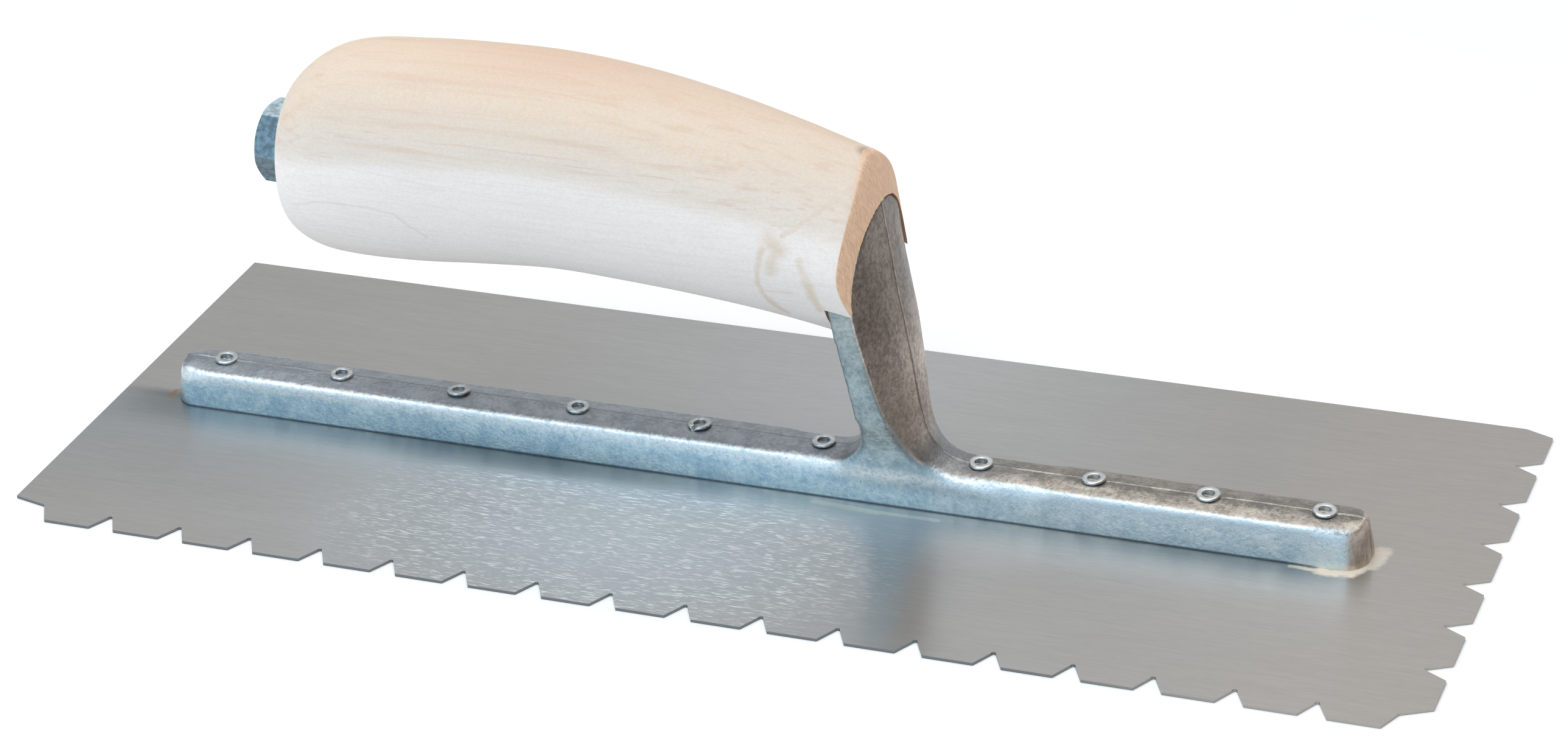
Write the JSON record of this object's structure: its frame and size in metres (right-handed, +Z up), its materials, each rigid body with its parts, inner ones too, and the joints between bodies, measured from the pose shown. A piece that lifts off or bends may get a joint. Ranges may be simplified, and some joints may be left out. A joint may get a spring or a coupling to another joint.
{
  "type": "notched trowel",
  "caption": "Thin steel spreading blade with V-notched edges, riveted to a cast aluminium mounting that carries a curved wooden handle.",
  "frame": {"origin": "middle of the blade's underside, at the centre of its bounding rectangle", "axes": "+X along the blade from its plain short edge towards its notched short edge, +Y towards its plain long edge, +Z up from the blade towards the handle"},
  "size_m": [0.2804, 0.109, 0.0842],
  "materials": {
    "blade_steel": "brushed along the blade's length",
    "cast_aluminium": "as cast, tumbled, matt",
    "rivet_metal": "nickel plated, rolled",
    "handle_wood": "bare sanded beech",
    "zinc_steel": "blue-white zinc plate"
  },
  "bodies": {
    "root": {"blade": "blade_steel", "mounting": "cast_aluminium", "rivet_01": "rivet_metal", "rivet_02": "rivet_metal", "rivet_03": "rivet_metal", "rivet_04": "rivet_metal", "rivet_05": "rivet_metal", "rivet_06": "rivet_metal", "rivet_07": "rivet_metal", "rivet_08": "rivet_metal", "rivet_09": "rivet_metal", "rivet_10": "rivet_metal", "handle": "handle_wood", "stud": "zinc_steel", "washer": "zinc_steel", "nut": "zinc_steel"}
  },
  "joints": []
}
